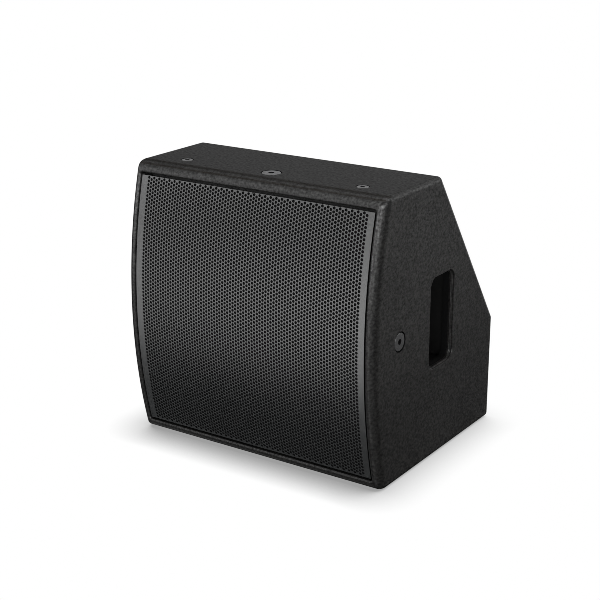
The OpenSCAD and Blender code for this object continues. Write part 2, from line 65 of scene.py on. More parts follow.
# ------------------------------------------------------------------ main sizes
MM = 0.001                                # metres in a millimetre
side_low, side_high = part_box("side_right")
HALF_WIDTH = side_high.x / MM
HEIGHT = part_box("top_panel")[1].z / MM
DEPTH = 306.5                             # chord to rear wall
TOP_DEPTH = 142.0                         # chord to the start of the slope
REAR_HEIGHT = 153.5                       # floor to the foot of the slope
CHORD_Y = side_high.y / MM - DEPTH        # world y of the chord
PLY = HALF_WIDTH - side_low.x / MM        # panel thickness
MID_Z = HEIGHT / 2
BOW = CHORD_Y - side_low.y / MM           # how far the front bows out
BOW_RADIUS = (MID_Z ** 2 + BOW ** 2) / (2 * BOW)
BOW_CENTRE_Y = BOW_RADIUS - BOW
RIM = 11.5                                # side rims beside the front opening


# ------------------------------------------------------------------ shader building
class Value:
    """A shader socket; arithmetic on it adds Math nodes."""

    def __init__(self, tree, socket):
        self.tree = tree
        self.socket = socket

    __add__ = lambda self, other: calc("ADD", self, other)
    __sub__ = lambda self, other: calc("SUBTRACT", self, other)
    __rsub__ = lambda self, other: calc("SUBTRACT", other, self)
    __mul__ = lambda self, other: calc("MULTIPLY", self, other)
    __truediv__ = lambda self, other: calc("DIVIDE", self, other)
    __pow__ = lambda self, other: calc("POWER", self, other)
    __lt__ = lambda self, other: calc("LESS_THAN", self, other)
    __gt__ = lambda self, other: calc("GREATER_THAN", self, other)
    __abs__ = lambda self: calc("ABSOLUTE", self)


def plug(socket, value):
    """Links a Value to a socket, or sets the socket to a constant."""
    if isinstance(value, Value):
        value.tree.links.new(value.socket, socket)
    else:
        socket.default_value = value


def add_node(tree, kind, inputs, **settings):
    node = tree.nodes.new("ShaderNode" + kind)
    for key, setting in settings.items():
        setattr(node, key, setting)
    for key, value in inputs.items():
        plug(node.inputs[key], value)
    return node


def calc(operation, first, second=None, clamp=False):
    tree = (first if isinstance(first, Value) else second).tree
    operands = {i: v for i, v in enumerate((first, second)) if v is not None}
    node = add_node(tree, "Math", operands, operation=operation, use_clamp=clamp)
    return Value(tree, node.outputs[0])


def empty_tree(owner):
    owner.use_nodes = True
    owner.node_tree.nodes.clear()
    return owner.node_tree


MATS = {}


class Shader:
    """A Principled material; assigning to shader[name] sets or links that surface input."""

    def __init__(self, name):
        material = bpy.data.materials.new(name)
        MATS[name] = material
        self.tree = empty_tree(material)
        output = add_node(self.tree, "OutputMaterial", {})
        self.surface = add_node(self.tree, "BsdfPrincipled", {})
        self.tree.links.new(self.surface.outputs[0], output.inputs[0])
        self.coords = self.node("TexCoord", "Object", {})

    def __setitem__(self, name, value):
        plug(self.surface.inputs[name], value)

    def node(self, kind, output, inputs, **settings):
        made = add_node(self.tree, kind, inputs, **settings)
        return Value(self.tree, made.outputs[output])

    def stretch(self, x, y, z):
        """Coordinates multiplied axis by axis."""
        return self.node("Mapping", 0, {"Scale": (x, y, z), "Vector": self.coords})

    def split(self, vector):
        made = add_node(self.tree, "SeparateXYZ", {0: vector})
        return [Value(self.tree, socket) for socket in made.outputs]

    def noise(self, scale, detail=3.0, rough=0.5, distort=0.0, at=None):
        return self.node("TexNoise", "Fac", {
            "Scale": scale, "Detail": detail, "Roughness": rough, "Distortion": distort,
            "Vector": at or self.coords})

    def smooth_cells(self, scale, smooth, at=None):
        return self.node("TexVoronoi", "Distance", {
            "Scale": scale, "Randomness": 1.0, "Smoothness": smooth,
            "Vector": at or self.coords}, feature="SMOOTH_F1")

    def cell_edges(self, scale, rand=1.0, at=None):
        """Distance to the nearest edge between cells."""
        return self.node("TexVoronoi", "Distance", {
            "Scale": scale, "Randomness": rand, "Vector": at or self.coords},
            feature="DISTANCE_TO_EDGE")

    def wave(self, scale, distort, axis, profile="SIN", detail_scale=1.0, at=None):
        return self.node("TexWave", "Fac", {
            "Scale": scale, "Distortion": distort, "Detail": 2.0,
            "Detail Scale": detail_scale, "Vector": at or self.coords},
            bands_direction=axis, wave_profile=profile)

    def weave(self, scale, distort):
        """Crossed threads along x and z."""
        return calc("MAXIMUM", self.wave(scale, distort, "X"), self.wave(scale, distort, "Z"))

    def remap(self, value, to, span=(0.3, 0.7)):
        return self.node("MapRange", 0, {
            "From Min": span[0], "From Max": span[1], "To Min": to[0], "To Max": to[1],
            "Value": value})

    def ramp(self, value, *stops):
        """Colour from value; each stop is (position, (red, green, blue))."""
        made = add_node(self.tree, "ValToRGB", {"Fac": value})
        elements = made.color_ramp.elements
        while len(elements) > 1:
            elements.remove(elements[-1])
        elements[0].position = stops[0][0]
        elements[0].color = (*stops[0][1], 1)
        for position, colour in stops[1:]:
            elements.new(position).color = (*colour, 1)
        return Value(self.tree, made.outputs["Color"])

    def mix(self, share, base, over):
        """Mixes the constant colour or Value over into base."""
        over = over if isinstance(over, Value) else (*over, 1)
        inputs = {0: share, 6: base, 7: over}
        return self.node("Mix", 2, inputs, data_type="RGBA", blend_type="MIX")

    def bump(self, height, strength, distance):
        self["Normal"] = self.node("Bump", 0, {
            "Strength": strength, "Distance": distance, "Height": height})


# ------------------------------------------------------------------ materials
def textured_paint():
    """Textured black paint: a coarse orange peel with finer grit, with painted shade and highlight
    lines along the front top edge.
    """
    mat = Shader("textured_paint")
    squeezed = mat.stretch(1.0, 0.66, 1.0)
    peel = mat.smooth_cells(scale=400.0, smooth=0.35, at=squeezed)
    fine = mat.noise(scale=1300.0, detail=2.0, rough=0.6, at=squeezed)
    broad = mat.noise(scale=9.0, rough=0.55)
    mid = mat.noise(scale=330.0, detail=2.0, rough=0.55, at=squeezed)
    mat.bump(peel * -1.0 + fine * 0.3 + mid * 0.7, strength=0.15, distance=0.0007)
    tone = mid * 0.8 + broad * 0.2
    colour = mat.ramp(tone, (0.32, (0.0018, 0.0017, 0.0017)), (0.5, (0.0040, 0.0039, 0.0038)),
                      (0.66, (0.0078, 0.0076, 0.0072)))
    mat["Roughness"] = mat.remap(mid, to=(0.41, 0.35))

    # along the front top edge: two dull brownish lines of painted shade (less specular), with
    # painted highlight (more specular) between and below them
    _, y, z = mat.split(mat.coords)

    def band(position, centre, half):
        """1 at the centre, falling to 0 at half on either side of it."""
        offset = (position - centre) / half
        return calc("MAXIMUM", 1.0 - offset * offset, 0.0)

    ahead = y < (6.0 + CHORD_Y) * MM
    upper = z > 0.3862
    front_line = band(z, centre=0.3847, half=0.0012) * ahead
    top_line = band(y, centre=(13.5 + CHORD_Y) * MM, half=0.0052) * upper
    lines = front_line + top_line * 0.8
    below = band(z, centre=0.3790, half=0.0046) * ahead
    between = band(y, centre=(3.5 + CHORD_Y) * MM, half=0.0045) * upper
    painted_light_specular = (below + between) * 0.5 + (1.0 - lines * 0.55)

    # painted light: the flat of the sides gets more specular and a paler colour towards the top,
    # less so towards the rear, standing in for the light falling on them
    facing = mat.split(mat.node("NewGeometry", "Normal", {}))[0]
    flat = abs(facing) ** 70.0
    painted_light_gain = (mat.remap(z, span=(0.08, 0.33), to=(0.48, 1.55))
            * mat.remap(y, span=(-0.04, 0.15), to=(1.0, 0.42)))
    painted_light_specular = painted_light_specular + flat * painted_light_gain
    painted_light_colour = mat.ramp(tone, (0.32, (0.0048, 0.0047, 0.0046)), (0.5, (0.0125, 0.0123, 0.0120)),
                    (0.66, (0.0265, 0.0260, 0.0252)))
    colour = mat.mix(calc("MULTIPLY", flat * painted_light_gain, 0.5, clamp=True), colour, painted_light_colour)
    mat["Specular IOR Level"] = mat.remap(mid, to=(0.125, 0.385)) * painted_light_specular
    # a brownish tint over the two lines of painted shade and the band of painted highlight between
    # them
    brown_tint_share = calc("MULTIPLY", lines + between, 0.6, clamp=True)
    mat["Base Color"] = mat.mix(brown_tint_share, colour, (0.0060, 0.0042, 0.0027))


def birch():
    mat = Shader("birch")
    plies = mat.wave(scale=210.0, distort=0.8, axis="Y", profile="SAW", detail_scale=3.0,
                     at=mat.stretch(1.0, 1.0, 1.0))
    grain = mat.noise(scale=12.0, detail=5.0, rough=0.6, distort=0.4, at=mat.stretch(6, 60, 60))
    broad = mat.noise(scale=8.0, detail=2.0)
    wood = mat.ramp(grain * 0.7 + broad * 0.3, (0.3, (0.40, 0.27, 0.15)),
                    (0.5, (0.55, 0.41, 0.25)), (0.72, (0.66, 0.53, 0.35)))
    ply_share = mat.remap(plies, span=(0.0, 1.0), to=(0.0, 0.22))
    mat["Base Color"] = mat.mix(ply_share, wood, (0.24, 0.14, 0.07))
    mat["Roughness"] = mat.remap(grain, to=(0.7, 0.55))
    mat.bump(grain, strength=0.25, distance=0.0002)


def grille_paint():
    mat = Shader("grille_paint")
    fine = mat.noise(scale=2300.0, detail=2.0, rough=0.6)
    mid = mat.noise(scale=260.0, rough=0.6)
    broad = mat.noise(scale=11.0, detail=2.0)
    mat["Base Color"] = mat.ramp(mid * 0.5 + broad * 0.5, (0.35, (0.0050, 0.0055, 0.0057)),
                                 (0.65, (0.0083, 0.0089, 0.0091)))
    mat["Roughness"] = mat.remap(mid, to=(0.28, 0.36))
    mat["Specular IOR Level"] = 1.0
    mat["IOR"] = 1.57
    mat.bump(fine, strength=0.35, distance=0.00008)


def grille_bore():
    """Near-black matt material for the walls of perforations and bores: painted shade, standing in
    for the shade inside them.
    """
    mat = Shader("grille_bore")
    fine = mat.noise(scale=1900.0, detail=2.0, rough=0.6)
    mat["Base Color"] = mat.ramp(fine, (0.35, (0.0012, 0.0012, 0.0013)),
                                 (0.65, (0.0024, 0.0025, 0.0026)))
    mat["Roughness"] = mat.remap(fine, to=(0.75, 0.95))
    mat["Specular IOR Level"] = 0.06
    mat.bump(fine, strength=0.3, distance=0.00008)


def foam():
    mat = Shader("foam")
    cells = mat.cell_edges(scale=1500.0)
    soft = mat.noise(scale=300.0)
    # black foam made darker than it is: partly its own colour, partly painted shade standing in for
    # the dark behind the perforations
    colour = mat.ramp(calc("MULTIPLY", cells, 3.0, clamp=True),
                      (0.0, (0.0040, 0.0040, 0.0043)), (1.0, (0.0008, 0.0008, 0.0009)))
    soft_share = mat.remap(soft, span=(0.35, 0.65), to=(0.0, 0.5))
    mat["Base Color"] = mat.mix(soft_share, colour, (0.0022, 0.0022, 0.0024))
    mat["Roughness"] = 1.0
    mat["Specular IOR Level"] = 0.08
    mat["Sheen Weight"] = 0.04
    mat.bump(cells, strength=0.8, distance=0.0004)


def grained(name, fine, broad, dark, light, rough, bump, metallic=0.0):
    """Broad noise colours the surface between two stops; fine noise roughens and dents it."""
    mat = Shader(name)
    grit = mat.noise(**fine)
    patches = mat.noise(**broad)
    mat["Base Color"] = mat.ramp(patches, dark, light)
    mat["Roughness"] = mat.remap(grit, to=rough)
    mat["Metallic"] = metallic
    mat.bump(grit, **bump)


def metal(name, dark, light, rough, scale, axis, streak, strength, metallic=1.0):
    """Metal streaked along one axis; rough is (of the light spots, of the dark spots)."""
    mat = Shader(name)
    stretch = {"X": (1, streak, streak), "Y": (streak, 1, streak), "Z": (streak, streak, 1)}
    streaks = mat.noise(scale=scale, rough=0.6, at=mat.stretch(*stretch[axis]))
    spots = mat.noise(scale=scale * 2.5, detail=4.0, rough=0.65)
    tone = streaks * 0.6 + spots * 0.4
    mat["Base Color"] = mat.ramp(tone, (0.3, dark), (0.7, light))
    mat["Roughness"] = mat.remap(tone, to=(rough[1], rough[0]))
    mat["Metallic"] = metallic
    mat.bump(streaks, strength=strength, distance=0.00006)


def plastic(name, dark, light, rough, grain, strength, specular=0.5):
    """Moulded or painted surface with a pebbled grain."""
    mat = Shader(name)
    pebbles = mat.smooth_cells(scale=grain, smooth=0.4)
    patches = mat.noise(scale=60.0, detail=4.0, rough=0.55)
    mat["Base Color"] = mat.ramp(patches, (0.32, dark), (0.68, light))
    mat["Roughness"] = mat.remap(patches, to=rough)
    mat["Specular IOR Level"] = specular
    mat.bump(pebbles, strength=strength, distance=0.0001)


def surround_rubber():
    mat = Shader("surround_rubber")
    threads = mat.weave(scale=420.0, distort=0.3)
    patches = mat.noise(scale=80.0)
    mat["Base Color"] = mat.ramp(threads * patches, (0.2, (0.009, 0.009, 0.009)),
                                 (0.6, (0.026, 0.025, 0.024)))
    mat["Roughness"] = mat.remap(patches, to=(0.45, 0.68))
    mat.bump(threads, strength=0.5, distance=0.00012)


def paper_cone():
    mat = Shader("paper_cone")
    fibres = mat.noise(scale=650.0, detail=6.0, rough=0.75, distort=1.2,
                       at=mat.stretch(1, 1, 1))
    broad = mat.noise(scale=40.0, detail=4.0, rough=0.6)
    mat["Base Color"] = mat.ramp((fibres + broad) * 0.5, (0.32, (0.010, 0.010, 0.011)),
                                 (0.5, (0.020, 0.020, 0.021)), (0.7, (0.040, 0.039, 0.038)))
    mat["Roughness"] = mat.remap(fibres, to=(0.6, 0.9))
    mat.bump(fibres, strength=0.6, distance=0.00025)


def woven(name, dark, light, scale, rough, strength):
    mat = Shader(name)
    threads = mat.weave(scale=scale, distort=0.4)
    patches = mat.noise(scale=130.0, detail=4.0, rough=0.6)
    tone = threads * 0.55 + patches * 0.45
    mat["Base Color"] = mat.ramp(tone, (0.3, dark), (0.75, light))
    mat["Roughness"] = mat.remap(patches, to=(rough - 0.08, rough + 0.08))
    mat.bump(threads, strength=strength, distance=0.0002)


def copper():
    mat = Shader("copper")
    turns = mat.wave(scale=330.0, distort=0.15, axis="Y")
    patches = mat.noise(scale=300.0, detail=4.0, rough=0.6)
    mat["Base Color"] = mat.ramp(patches, (0.3, (0.55, 0.20, 0.07)), (0.7, (0.83, 0.40, 0.19)))
    mat["Roughness"] = mat.remap(patches, to=(0.22, 0.38))
    mat["Metallic"] = 1.0
    mat["Coat Weight"] = 0.4
    mat.bump(turns, strength=0.7, distance=0.0002)


def ferrite():
    mat = Shader("ferrite")
    fine = mat.noise(scale=700.0, detail=5.0, rough=0.75)
    broad = mat.noise(scale=24.0, detail=4.0, rough=0.6)
    mat["Base Color"] = mat.ramp((fine + broad) * 0.5, (0.35, (0.020, 0.020, 0.021)),
                                 (0.65, (0.055, 0.053, 0.052)))
    mat["Roughness"] = mat.remap(fine, to=(0.55, 0.8))
    mat.bump(fine, strength=0.5, distance=0.0002)


def board():
    """Green board crossed by paler lines."""
    mat = Shader("board")
    edge = mat.cell_edges(scale=160.0, rand=0.6, at=mat.stretch(1, 1, 0.01)) < 0.05
    patches = mat.noise(scale=220.0)
    base = mat.ramp(patches, (0.3, (0.010, 0.075, 0.030)), (0.7, (0.020, 0.12, 0.05)))
    mat["Base Color"] = mat.mix(edge * 0.7, base, (0.05, 0.22, 0.10))
    mat["Roughness"] = mat.remap(patches, to=(0.3, 0.45))
    mat.bump(edge, strength=0.3, distance=0.00005)


def cap_film():
    mat = Shader("cap_film")
    streaks = mat.noise(scale=90.0, detail=4.0, rough=0.6, at=mat.stretch(20, 1, 20))
    bands = mat.wave(scale=16.0, distort=0.3, axis="Y")
    mat["Base Color"] = mat.ramp(streaks * 0.7 + bands * 0.3, (0.3, (0.38, 0.26, 0.03)),
                                 (0.7, (0.62, 0.47, 0.08)))
    mat["Roughness"] = mat.remap(streaks, to=(0.25, 0.42))
    mat.bump(streaks, strength=0.2, distance=0.0001)


def polyester():
    mat = Shader("polyester")
    fibres = mat.noise(scale=260.0, detail=8.0, rough=0.8, distort=3.5)
    broad = mat.noise(scale=30.0, rough=0.6)
    mat["Base Color"] = mat.ramp((fibres + broad) * 0.5, (0.3, (0.50, 0.50, 0.48)),
                                 (0.7, (0.80, 0.80, 0.78)))
    mat["Roughness"] = 0.95
    mat["Sheen Weight"] = 0.4
    mat.bump(fibres, strength=0.9, distance=0.0012)


textured_paint()
birch()
plastic("baffle_paint", dark=(0.008, 0.008, 0.008), light=(0.016, 0.016, 0.016),
        rough=(0.6, 0.8), grain=900.0, strength=0.4, specular=0.35)
grille_paint()
foam()
grained("rubber_black", fine=dict(scale=900.0, rough=0.6), broad=dict(scale=45.0),
        dark=(0.35, (0.012, 0.012, 0.013)), light=(0.65, (0.024, 0.024, 0.025)),
        rough=(0.62, 0.80), bump=dict(strength=0.35, distance=0.00012))
# painted light and shade: two copies of one steel, the brighter for the top points and the darker
# for the side points, standing in for the light falling on the top and the sides
metal("insert_steel", dark=(0.15, 0.15, 0.152), light=(0.31, 0.31, 0.315),
      rough=(0.36, 0.55), scale=260.0, axis="Z", streak=6.0, strength=0.25, metallic=0.85)
metal("insert_steel_painted_shade", dark=(0.055, 0.055, 0.056), light=(0.13, 0.13, 0.132),
      rough=(0.40, 0.58), scale=260.0, axis="Z", streak=6.0, strength=0.25, metallic=0.85)
# black plastic made darker than it is: partly its own colour, partly painted shade so that the hand
# pockets' cups read as deep shade
plastic("black_plastic", dark=(0.0012, 0.0012, 0.0012), light=(0.0028, 0.0028, 0.0028),
        rough=(0.6, 0.75), grain=1500.0, strength=0.35, specular=0.12)
metal("black_screw", dark=(0.020, 0.020, 0.022), light=(0.055, 0.055, 0.06),
      rough=(0.35, 0.5), scale=300.0, axis="Y", streak=4.0, strength=0.2, metallic=0.7)
grained("cast_aluminium", fine=dict(scale=1100.0, detail=4.0, rough=0.7),
        broad=dict(scale=35.0), dark=(0.35, (0.028, 0.029, 0.031)),
        light=(0.65, (0.05, 0.051, 0.055)), rough=(0.45, 0.65),
        bump=dict(strength=0.5, distance=0.00016), metallic=0.25)
metal("zinc_steel", dark=(0.42, 0.43, 0.44), light=(0.66, 0.67, 0.68),
      rough=(0.25, 0.42), scale=180.0, axis="X", streak=5.0, strength=0.15)
surround_rubber()
paper_cone()
plastic("former_film", dark=(0.42, 0.28, 0.10), light=(0.56, 0.40, 0.17),
        rough=(0.3, 0.45), grain=1200.0, strength=0.15)
copper()
woven("textile", dark=(0.42, 0.26, 0.08), light=(0.70, 0.50, 0.22),
      scale=520.0, rough=0.85, strength=0.6)
ferrite()
metal("titanium", dark=(0.48, 0.47, 0.46), light=(0.66, 0.65, 0.64),
      rough=(0.25, 0.4), scale=240.0, axis="X", streak=2.0, strength=0.12)
plastic("terminal_plastic", dark=(0.22, 0.012, 0.012), light=(0.34, 0.022, 0.02),
        rough=(0.4, 0.55), grain=1400.0, strength=0.25)
plastic("plate_paint", dark=(0.012, 0.012, 0.0125), light=(0.024, 0.024, 0.025),
        rough=(0.48, 0.62), grain=1300.0, strength=0.45)
plastic("socket_plastic", dark=(0.012, 0.013, 0.022), light=(0.024, 0.026, 0.040),
        rough=(0.35, 0.5), grain=1800.0, strength=0.2)
board()
cap_film()
grained("white_ceramic", fine=dict(scale=500.0, detail=5.0, rough=0.7),
        broad=dict(scale=60.0, rough=0.6), dark=(0.3, (0.55, 0.54, 0.50)),
        light=(0.7, (0.74, 0.73, 0.69)), rough=(0.65, 0.85),
        bump=dict(strength=0.4, distance=0.00015))
woven("cable_red", dark=(0.20, 0.010, 0.010), light=(0.40, 0.030, 0.025),
      scale=700.0, rough=0.55, strength=0.25)
polyester()
grille_bore()

for part in frame["record"]["subparts"]:
    mesh = frame["nodes"][part["node"]].data
    mesh.materials.clear()
    mesh.materials.append(MATS[part["material_slot"]])
    for polygon in mesh.polygons:
        polygon.material_index = 0


# ------------------------------------------------------------------ mesh helpers
def shade_smooth(mesh, crease):
    """Smooth shading, sharp where faces meet at more than crease degrees."""
    mesh.polygons.foreach_set("use_smooth", np.ones(len(mesh.polygons), bool))
    mesh.set_sharp_from_angle(angle=math.radians(crease))
    mesh.update()


def make_mesh(name, verts, faces, mats, face_mats=None, crease=None):
    """A mesh object from millimetre points; it stays flat shaded without a crease angle."""
    points = np.array(verts, float)
    points[:, 1] += CHORD_Y
    points *= MM
    mesh = bpy.data.meshes.new(name)
    mesh.from_pydata([tuple(p) for p in points], [], faces)
    for mat in mats:
        mesh.materials.append(MATS[mat])
    if face_mats is not None:
        mesh.polygons.foreach_set("material_index", np.array(face_mats, np.int32))
    mesh.update()
    bm = bmesh.new()
    bm.from_mesh(mesh)
    bmesh.ops.remove_doubles(bm, verts=bm.verts, dist=1e-7)
    bmesh.ops.recalc_face_normals(bm, faces=bm.faces)
    bm.to_mesh(mesh)
    bm.free()
    ob = bpy.data.objects.new(name, mesh)
    COLLECTION.objects.link(ob)
    if crease is not None:
        shade_smooth(mesh, crease)
    return ob


def band_faces(start, following, count):
    """Quads between two rings of count vertices, given their first indices."""
    for i in range(count):
        j = (i + 1) % count
        yield (start + i, start + j, following + j, following + i)


def solid(name, loops, mats=("textured_paint",), face_mats=None):
    """A closed solid through rings of equal length."""
    count = len(loops[0])
    last = (len(loops) - 1) * count
    faces = []
    for start in range(0, last, count):
        faces += band_faces(start, start + count, count)
    faces.append(tuple(range(count))[::-1])
    faces.append(tuple(range(last, last + count)))
    return make_mesh(name, [p for loop in loops for p in loop], faces, mats, face_mats)


def lathe(name, outline, place, mats, segments, crease, band_mats=None):
    """A ring from a closed outline of (radius, depth); place(across, up, depth) locates it."""
    verts = []
    for radius, depth in outline:
        for i in range(segments):
            angle = 2 * math.pi * i / segments
            verts.append(place(radius * math.cos(angle), radius * math.sin(angle), depth))
    faces = []
    face_mats = [] if band_mats else None
    for k in range(len(outline)):
        following = (k + 1) % len(outline)
        faces += band_faces(k * segments, following * segments, segments)
        if band_mats:
            face_mats += [band_mats[k]] * segments
    return make_mesh(name, verts, faces, mats, face_mats, crease)


def cut(ob, cutter):
    """Takes the cutter out of ob, keeping the cutter's materials on the new faces."""
    modifier = ob.modifiers.new("cut", "BOOLEAN")
    modifier.operation = "DIFFERENCE"
    modifier.solver = "EXACT"
    modifier.object = cutter
    modifier.material_mode = "TRANSFER"
    bpy.context.view_layer.update()
    graph = bpy.context.evaluated_depsgraph_get()
    mesh = bpy.data.meshes.new_from_object(
        ob.evaluated_get(graph), preserve_all_data_layers=True, depsgraph=graph)
    ob.modifiers.clear()
    old = ob.data
    ob.data = mesh
    bpy.data.meshes.remove(old)
    cutter_mesh = cutter.data
    bpy.data.objects.remove(cutter)
    bpy.data.meshes.remove(cutter_mesh)


def on_cabinet(ob, slot, *nodes):
    """Fixes ob to the cabinet in place of the named frame nodes."""
    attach(ob, "cabinet")
    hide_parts(*nodes)


# corners of a rectangle, counter-clockwise from the upper right
CORNERS = ((1, 1), (-1, 1), (-1, -1), (1, -1))


def rounded_rect(width, height, radius, steps, centre_x, centre_y):
    points = []
    for k, (side_x, side_y) in enumerate(CORNERS):
        for i in range(steps + 1):
            angle = math.pi / 2 * (k + i / steps)
            points.append((centre_x + side_x * (width / 2 - radius) + radius * math.cos(angle),
                           centre_y + side_y * (height / 2 - radius) + radius * math.sin(angle)))
    return points


def eased_edge(radius, steps):
    """(depth below the face, outward offset) of an eased edge, from outside the face inward."""
    out = [(-3.0, radius + 0.001), (-0.01, radius + 0.001)]
    for i in range(1, steps + 1):
        angle = math.pi / 2 * (1 - i / steps)
        out.append((radius - radius * math.sin(angle), radius - radius * math.cos(angle)))
    return out


# ------------------------------------------------------------------ cabinet shell
# front rounding: across the side rims, in depth, across the top and bottom rims
FRONT_X, FRONT_Y, FRONT_Z = 9.0, 17.0, 10.0
EDGE_RADIUS = 7.0                         # every other outer edge
CORNER_WEIGHT = 0.74                      # fullness of the curve round the front corners
BOW_CENTRE = np.array([BOW_CENTRE_Y, MID_Z])


def bow_y(z):
    return BOW_CENTRE_Y - math.sqrt(BOW_RADIUS ** 2 - (z - MID_Z) ** 2)


def front_corner(side):
    """Profile entries from the bow round to the top (side 1) or bottom (side -1) panel."""
    painted_light_gain = MID_Z - FRONT_Z
    start_y = bow_y(MID_Z + painted_light_gain)
    slope = painted_light_gain / math.sqrt(BOW_RADIUS ** 2 - painted_light_gain ** 2)
    start = np.array([start_y, MID_Z + side * painted_light_gain])
    knee = np.array([start_y + slope * FRONT_Z, MID_Z + side * MID_Z])
    end = np.array([FRONT_Y, MID_Z + side * MID_Z])
    start_inset = (BOW_CENTRE - start) / np.linalg.norm(BOW_CENTRE - start) * FRONT_Y
    end_inset = np.array([0.0, -side * EDGE_RADIUS])
    entries = []
    for i in range(11):
        t = i / 10
        pull = 2 * CORNER_WEIGHT * t * (1 - t)
        total = (1 - t) ** 2 + pull + t * t
        point = ((1 - t) ** 2 * start + pull * knee + t * t * end) / total
        ease = t * t * (3 - 2 * t)
        entries.append((point, start_inset * (1 - ease) + end_inset * ease,
                        FRONT_X * (1 - ease) + EDGE_RADIUS * ease))
    return entries


def rounded_corner(before, corner, after, radius, steps):
    """Profile entries round one corner of the outline, each inset to the centre of its arc."""
    before, corner, after = map(np.array, (before, corner, after))
    back = (before - corner) / np.linalg.norm(before - corner)
    onward = (after - corner) / np.linalg.norm(after - corner)
    half = math.acos(float(np.clip(back @ onward, -1, 1))) / 2
    middle = (back + onward) / np.linalg.norm(back + onward)
    centre = corner + middle * radius / math.sin(half)
    first = corner + back * radius / math.tan(half) - centre
    last = corner + onward * radius / math.tan(half) - centre
    angle = math.atan2(first[1], first[0])
    sweep = math.atan2(last[1], last[0]) - angle
    sweep = (sweep + math.pi) % (2 * math.pi) - math.pi
    entries = []
    for i in range(steps + 1):
        turned = angle + sweep * i / steps
        point = centre + radius * np.array([math.cos(turned), math.sin(turned)])
        entries.append((point, centre - point, radius))
    return entries


def shell_profile():
    """Outline seen from the side: (y, z) point, inset to the side's flat, x of the rounding."""
    entries = front_corner(-1)[::-1]
    half_angle = math.asin((MID_Z - FRONT_Z) / BOW_RADIUS)
    for i in range(1, 56):
        angle = -half_angle + 2 * half_angle * i / 56
        point = BOW_CENTRE + BOW_RADIUS * np.array([-math.cos(angle), math.sin(angle)])
        entries.append((point, (BOW_CENTRE - point) / BOW_RADIUS * FRONT_Y, FRONT_X))
    entries += front_corner(1)
    corners = [(0, HEIGHT), (TOP_DEPTH, HEIGHT), (DEPTH, REAR_HEIGHT), (DEPTH, 0), (0, 0)]
    for k in (1, 2, 3):
        entries += rounded_corner(*corners[k - 1:k + 2], EDGE_RADIUS, 6)
    return entries


def build_shell():
    profile = shell_profile()
    steps = 9
    right = []                            # from the flat of the right side out to the outline
    for k in range(steps + 1):
        angle = math.pi / 2 * k / steps
        inward = 1 - math.sin(angle)
        right.append([(HALF_WIDTH - drop * (1 - math.cos(angle)), *(point + inset * inward))
                      for point, inset, drop in profile])
    left = [[(-x, y, z) for x, y, z in row] for row in right]
    return solid("cabinet_shell", right + left[::-1], ["textured_paint", "birch"])


# inside of the box and front opening
SHOULDER_Y = 17.0                         # where the front opening meets the inside
OVERLAP = 0.1
OPENING_EASE = 3.2
OPENING_CORNER = 3.0


def inside_cutter():
    """Inside of the box, from the baffle's shoulder back."""
    along = np.array([DEPTH - TOP_DEPTH, REAR_HEIGHT - HEIGHT])
    along = along / float(np.hypot(*along))
    normal = np.array([-along[1], along[0]])
    on_slope = np.array([TOP_DEPTH, HEIGHT]) - normal * PLY
    front_y, rear_y, top_z = SHOULDER_Y - OVERLAP, DEPTH - PLY, HEIGHT - PLY
    top_y = on_slope[0] + (top_z - on_slope[1]) / along[1] * along[0]
    rear_z = on_slope[1] + (rear_y - on_slope[0]) / along[0] * along[1]
    outline = [(front_y, PLY), (front_y, top_z), (top_y, top_z), (rear_y, rear_z), (rear_y, PLY)]
    reach = HALF_WIDTH - PLY
    return solid("cut_inside", [[(x, y, z) for y, z in outline] for x in (-reach, reach)],
                 ("birch",))


def opening_loop(offset, depth=0.0, flat_y=None):
    """A ring round the front opening, sampled along z to follow the bow unless flat_y is set."""
    half = HALF_WIDTH - RIM + offset
    radius = OPENING_CORNER + offset
    low, high = PLY - offset + radius, HEIGHT - PLY + offset - radius
    samples = 44
    points = []
    for k, (side_x, side_z) in enumerate(CORNERS):
        for i in range(5):
            angle = math.pi / 2 * (k + i / 4)
            points.append((side_x * (half - radius) + radius * math.cos(angle),
                           (high if side_z > 0 else low) + radius * math.sin(angle)))
        if k == 1:
            points += [(-half, high + (low - high) * i / samples) for i in range(1, samples)]
        if k == 3:
            points += [(half, low + (high - low) * i / samples) for i in range(1, samples)]
    return [(x, bow_y(z) + depth if flat_y is None else flat_y, z) for x, z in points]


def opening_cutter():
    loops = [opening_loop(OPENING_EASE + 0.001, flat_y=-60.0)]
    loops += [opening_loop(offset, depth) for depth, offset in eased_edge(OPENING_EASE, 7)[1:]]
    loops.append(opening_loop(0.0, flat_y=SHOULDER_Y))
    return solid("cut_front", loops)


# hand openings in the sides
HAND_Y, HAND_Z = 152.0, MID_Z - 1.6
HAND_WIDTH, HAND_HEIGHT, HAND_CORNER = 61.0, 124.8, 13.0
HAND_LIP = 1.9                            # shallow step round the opening
# depth below the face, outward offset
HAND_STEPS = [(depth, offset + HAND_LIP) for depth, offset in eased_edge(0.8, 3)]
HAND_STEPS += [(2.7, HAND_LIP), (3.0, 1.6), (3.1, -1.5), (3.6, -2.0), (6.0, -2.0),
               (PLY + 2.0, -2.0)]


def hand_cutter(side):
    loops = []
    for depth, offset in HAND_STEPS:
        taller = max(offset, offset * 0.35)
        ring = rounded_rect(HAND_WIDTH + 2 * offset, HAND_HEIGHT + 2 * taller,
                            HAND_CORNER + offset, 8, HAND_Y, HAND_Z)
        loops.append([(side * (HALF_WIDTH - depth), y, z) for y, z in ring])
    per_band = len(loops[0])
    # painted shade: the deepest band and the inner end take the near-black bore material, standing
    # in for the shade deep in the pocket
    face_mats = [0] * per_band * (len(loops) - 2) + [1] * per_band + [0, 1]
    return solid("cut_hand", loops, ["textured_paint", "grille_bore"], face_mats)


